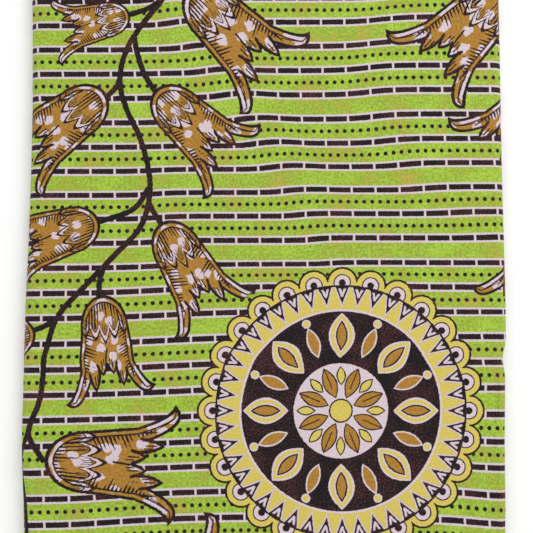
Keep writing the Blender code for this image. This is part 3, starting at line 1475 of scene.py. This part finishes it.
@dataclass(frozen=True)
class Wave:
    """A slow wave along an edge: its height, its swings, and its shift for each seed."""

    height: float
    swings: float
    shift: float

    def at(self, place: np.ndarray, seed: float) -> np.ndarray:
        """How far the edge lies off its line at a place."""
        return self.height * np.sin(place * self.swings + seed * self.shift)


@dataclass
class FoldedSheet:
    """A doubled stretch of the cloth, from its selvedges round its centre fold and back."""

    name: str
    form: BundleForm
    layout: PrintLayout
    columns: np.ndarray
    row_gap: float
    base: float = 0.0
    fold_in: float = 0.0015
    selvedge_in: float = 0.0010
    back_in: float = 0.0008
    seed: int = 0
    print_shift: float = 0.137
    ply: float = 0.0004
    turn: float = 0.000375
    turn_rows: int = 5
    inner_rows: int = 14
    crisp_angle: float = math.radians(60)
    creased: bool = False
    raised: float = 0.0
    slant: float = 0.0
    fray: float = 0.0
    fray_sharpness: int = 24
    edge_waves: tuple[Wave, ...] = (Wave(0.0006, 23.0, 1.7), Wave(0.0004, 61.0, 1.0))
    back_wave: Wave = Wave(0.0007, 37.0, 2.3)
    fray_waves: tuple[Wave, ...] = (Wave(1.0, 410.0, 0.0), Wave(1.0, 173.0, 1.0))

    def build(self) -> bpy.types.Object:
        """Makes the sheet as a thin closed shell with its print's coordinates.

        Returns:
            The finished object.
        """
        u, y, depth, flat = self._lay()
        places = self.form.place(u, y, self.base, depth, self.creased, self.raised)
        piece, spots = self._grid(places)
        selvedge = np.minimum(flat - flat[0], flat[-1] - flat) / MM
        self._write_print(piece.data, u[spots], flat[spots], selvedge[spots])
        self._thicken(piece)
        LOG.info("%s: %d faces", self.name, len(piece.data.polygons))
        return piece

    def _lay(self) -> Arrays:
        """Lays the sheet out, a row of points at a time from its outer ply to its inner one.

        Returns:
            Each point's place round the lap, its y, its depth and its place along the cloth.
        """
        outer = np.linspace(0, 1, round(self.form.length / self.row_gap) + 1)
        turns = np.linspace(0, np.pi, self.turn_rows + 1)[1:]
        inner = np.linspace(0, 1, self.inner_rows + 1)[1:]
        u = self.columns
        sway = sum(wave.at(u, self.seed) for wave in self.edge_waves)
        start = -self.form.length / 2 + self.selvedge_in + sway
        back = start + self.back_in + self.back_wave.at(u, self.seed)
        fold = self.form.length / 2 - self.fold_in - self.turn + sway[::-1]
        y_out = start + np.outer(outer, fold - start)
        y_turn = fold + self.turn * np.outer(np.sin(turns), np.ones_like(u))
        y_back = fold + np.outer(inner, back - fold)
        around = fold + self.turn * np.outer(turns, np.ones_like(u))
        flat = np.vstack([y_out, around, fold + np.pi * self.turn + (fold - y_back)])
        y = np.vstack([y_out, y_turn, y_back])
        depth = np.full(len(y), self.ply / 2)
        depth[len(outer):-len(inner)] += self.turn * (1 - np.cos(turns))
        depth[-len(inner):] += 2 * self.turn
        reach = np.abs(u) - np.abs(u).min()
        share = reach / reach.max()
        ragged = sum(wave.at(y, 1.0) for wave in self.fray_waves)
        fray = self.fray * share**self.fray_sharpness * ragged
        slanted = u + self.slant * share * y / self.form.length + fray
        return slanted, y, np.broadcast_to(depth[:, None], y.shape), flat

    def _grid(self, places: np.ndarray) -> tuple[bpy.types.Object, Arrays]:
        """Moves a grid primitive's points on to the bundle.

        Args:
            places: where each row and column of points goes.

        Returns:
            The grid, and the row and the column of each of its points.
        """
        bpy.ops.object.select_all(action="DESELECT")
        down, across = places.shape[0] - 1, places.shape[1] - 1
        bpy.ops.mesh.primitive_grid_add(x_subdivisions=across, y_subdivisions=down, size=2)
        piece = bpy.context.object
        piece.name = piece.data.name = self.name
        mesh = piece.data
        plain = np.zeros(len(mesh.vertices) * 3)
        mesh.vertices.foreach_get("co", plain)
        grid = (plain.reshape(-1, 3) + 1) / 2
        column = np.rint(grid[:, 0] * across).astype(int)
        row = np.rint(grid[:, 1] * down).astype(int)
        mesh.vertices.foreach_set("co", places[row, column].ravel())
        mesh.update()
        return piece, (row, column)

    def _write_print(
        self, mesh: bpy.types.Mesh, u: np.ndarray, v: np.ndarray, selvedge: np.ndarray
    ) -> None:
        """Writes the print's coordinates to the mesh's face corners.

        Args:
            mesh: the sheet's mesh.
            u: each point's place across the cloth.
            v: its place along the cloth.
            selvedge: its distance from the nearer selvedge, in millimetres.
        """
        corners = np.zeros(len(mesh.loops), int)
        mesh.loops.foreach_get("vertex_index", corners)
        corner_u, corner_v = (u + self.seed * self.print_shift)[corners], v[corners]
        across, down = self.layout.stripe_coordinates(corner_u, corner_v)
        while mesh.uv_layers:
            mesh.uv_layers.remove(mesh.uv_layers[0])
        stripes = mesh.uv_layers.new(name="print")
        stripes.data.foreach_set("uv", np.stack([across, down], -1).ravel())
        quad_u, quad_v = corner_u.reshape(-1, 4), corner_v.reshape(-1, 4)
        lines = self.layout.stems(quad_u, quad_v)
        lines[..., 2] = selvedge[corners].reshape(-1, 4)
        motif = self.layout.motifs(quad_u, quad_v)
        for name, values in (("motif", motif), ("lines", lines)):
            layer = mesh.attributes.new(name, "FLOAT_VECTOR", "CORNER")
            layer.data.foreach_set("vector", values.ravel())

    def _thicken(self, piece: bpy.types.Object) -> None:
        """Gives the sheet its thickness, and keeps its cut edges crisp.

        Args:
            piece: the sheet.
        """
        wall = piece.modifiers.new("Ply", "SOLIDIFY")
        wall.thickness = self.ply
        wall.offset = 0.0
        wall.use_even_offset = True
        bpy.context.view_layer.objects.active = piece
        bpy.ops.object.modifier_apply(modifier=wall.name)
        bpy.ops.object.shade_smooth_by_angle(angle=self.crisp_angle)


@dataclass
class Studio:
    """Floor, light and camera."""

    reach: float = 1.1
    tilt: float = math.radians(4.5)
    half_view: float = 0.255
    nearest_seen: float = 0.01
    aim_x: float = 0.0018
    aim_z: float = 0.018
    floor_size: float = 12.0
    floor_tone: float = 0.97
    floor_roughness: float = 0.95
    below: float = 0.0001
    sky: float = 0.90
    key_power: float = 10.0
    key_size: float = 1.2
    key_place: tuple[float, float, float] = (0.8, 0.9, 1.3)

    def build(self) -> None:
        """Makes the stage, the lights and the camera."""
        self._floor()
        self._light()
        self._camera()

    def _floor(self) -> None:
        """A plain pale floor."""
        bpy.ops.object.select_all(action="DESELECT")
        bpy.ops.mesh.primitive_plane_add(size=self.floor_size, location=(0, 0, -self.below))
        floor = bpy.context.object
        floor.name = "floor"
        material = bpy.data.materials.new("pale_floor")
        material.use_nodes = True
        shader = material.node_tree.nodes["Principled BSDF"]
        shader.inputs["Base Color"].default_value = (*[self.floor_tone] * 3, 1.0)
        shader.inputs["Roughness"].default_value = self.floor_roughness
        shader.inputs["Specular IOR Level"].default_value = 0.0
        floor.data.materials.append(material)

    def _light(self) -> None:
        """Even sky light, with one broad soft lamp from the upper right."""
        world = bpy.data.worlds.new("studio")
        bpy.context.scene.world = world
        world.use_nodes = True
        background = world.node_tree.nodes["Background"]
        background.inputs["Color"].default_value = (1.0, 1.0, 1.0, 1.0)
        background.inputs["Strength"].default_value = self.sky
        bpy.ops.object.light_add(type="AREA", location=self.key_place)
        lamp = bpy.context.object
        lamp.data.energy = self.key_power
        lamp.data.size = self.key_size
        lamp.rotation_euler = (-lamp.location).to_track_quat("-Z", "Y").to_euler()

    def _camera(self) -> None:
        """The camera, nearly overhead and a little nearer the selvedges."""
        aim = Vector((self.aim_x, 0.0, self.aim_z))
        back = Vector((0.0, -math.sin(self.tilt), math.cos(self.tilt)))
        bpy.ops.object.camera_add(location=aim + back * self.reach)
        camera = bpy.context.object
        camera.rotation_euler = (self.tilt, 0.0, 0.0)
        camera.data.angle = 2 * math.atan(self.half_view / self.reach)
        camera.data.clip_start = self.nearest_seen
        bpy.context.scene.camera = camera
        bpy.context.scene.view_settings.view_transform = "Standard"


@dataclass
class FoldedCloth:
    """The whole folded cloth, a piece for each stretch that shows.

    The face's columns lie closer together where the fine creases run beside its right fold.
    Each hidden lap is set in by its own amount at the centre fold and at the selvedges.
    """

    form: BundleForm
    layout: PrintLayout
    broad: float = 1.158
    seam: float = 0.2680
    tucked: float = 0.012
    climb: float = 0.0011
    face_gap: float = 0.0033
    under_gaps: Pair = (0.0050, 0.0055)
    hidden_gaps: Pair = (0.010, 0.020)
    close_from: float = 0.2090
    close_to: float = 0.2275
    close_gap: float = 0.0006
    close_room: float = 0.0008
    fray: float = 0.0002
    lap_step: float = 0.0015
    lap_drop: float = 0.0002
    insets: tuple[Pair, ...] = (
        (0.0012, 0.0022),
        (0.0026, 0.0009),
        (0.0015, 0.0031),
        (0.0034, 0.0017),
        (0.0021, 0.0028),
    )

    def build(self) -> list[bpy.types.Object]:
        """Builds and dresses every piece.

        Returns:
            The pieces.
        """
        cotton = PrintedCotton("printed_cotton").build(self.layout)
        pieces = [self._face(), self._under(), self._cut_end(), self._inner()]
        for piece in pieces:
            piece.data.materials.clear()
            piece.data.materials.append(cotton)
            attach(piece, "root")
        return pieces

    def _columns(self, low: float, high: float, gap: float) -> np.ndarray:
        """Evenly spaced places round a lap."""
        return np.linspace(low, high, round((high - low) / gap) + 1)

    def _sheet(
        self, name: str, columns: np.ndarray, rows: float, **more: float
    ) -> bpy.types.Object:
        """Builds one sheet on the bundle's form."""
        return FoldedSheet(name, self.form, self.layout, columns, rows, **more).build()

    def _under_length(self) -> float:
        """Distance round the lap from the middle of its top to where its underside begins."""
        return (self.form.width - self.form.thickness) / 2 + np.pi * self.form.thickness / 2

    def _slant(self) -> float:
        """How far askew the cut edge lies over the bundle's length."""
        return self.form.slit_at_selvedges - self.form.slit_at_fold

    def _face(self) -> bpy.types.Object:
        """Builds the stretch over the top and round both side folds.

        Returns:
            The piece.
        """
        even = self._columns(-self.seam, self.seam, self.face_gap)
        close = np.arange(self.close_from, self.close_to, self.close_gap)
        kept = even[(even < close[0] - self.close_room) | (even > close[-1] + self.close_room)]
        columns = np.sort(np.concatenate([kept, close]))
        piece = self._sheet("face_cloth", columns, self.face_gap, creased=True)
        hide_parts("face_lap")
        return piece

    def _under(self) -> bpy.types.Object:
        """Builds the underside from the left fold, tucked in over the cloth's free end.

        Returns:
            The piece.
        """
        first = -self._under_length() - self.form.slit(0.0) - self.tucked
        across, along = self.under_gaps
        columns = self._columns(first, -self.seam, across)
        piece = self._sheet("under_cloth", columns, along, raised=self.climb, slant=self._slant())
        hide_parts("under_lap")
        -self.seam - first
        return piece

    def _cut_end(self) -> bpy.types.Object:
        """Builds the free end of the cloth, on the underside from the right fold.

        Returns:
            The piece.
        """
        straight = self.form.width - self.form.thickness
        last = self._under_length() + straight - self.form.slit(0.0)
        across, along = self.under_gaps
        columns = self._columns(self.seam, last, across)
        piece = self._sheet("cut_end_cloth", columns, along, slant=self._slant(), fray=self.fray)
        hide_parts("cut_end")
        last - self.seam
        return piece

    def _inner(self) -> bpy.types.Object:
        """Builds the hidden laps, which show as nested edges at both ends.

        Returns:
            The piece, with all the laps joined.
        """
        laps, round_all = [], 0.0
        across, along = self.hidden_gaps
        run = self.form.width / 2 - self.form.thickness / 2
        for number, (fold_in, selvedge_in) in enumerate(self.insets, start=1):
            base = number * self.lap_step
            half = 2 * run + np.pi * (self.form.thickness / 2 - base)
            round_all += 2 * half
            lap = self._sheet(
                f"lap_{number}",
                self._columns(-half, half, across),
                along,
                base=base,
                fold_in=fold_in,
                selvedge_in=selvedge_in,
                raised=self.climb - number * self.lap_drop,
                seed=number,
            )
            laps.append(lap)
        bpy.ops.object.select_all(action="DESELECT")
        for lap in laps:
            lap.select_set(True)
        bpy.context.view_layer.objects.active = laps[0]
        bpy.ops.object.join()
        piece = laps[0]
        piece.name = piece.data.name = "inner_laps_cloth"
        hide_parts("inner_laps")
        return piece


def main() -> None:
    """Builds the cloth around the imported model."""
    logging.basicConfig(level=logging.INFO, format="%(message)s")
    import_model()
    low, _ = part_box("face_lap")
    Studio().build()
    for piece in FoldedCloth(BundleForm(left_x=low.x), PrintLayout()).build():
        LOG.info("%s done", piece.name)


if __name__ == "__main__":
    main()
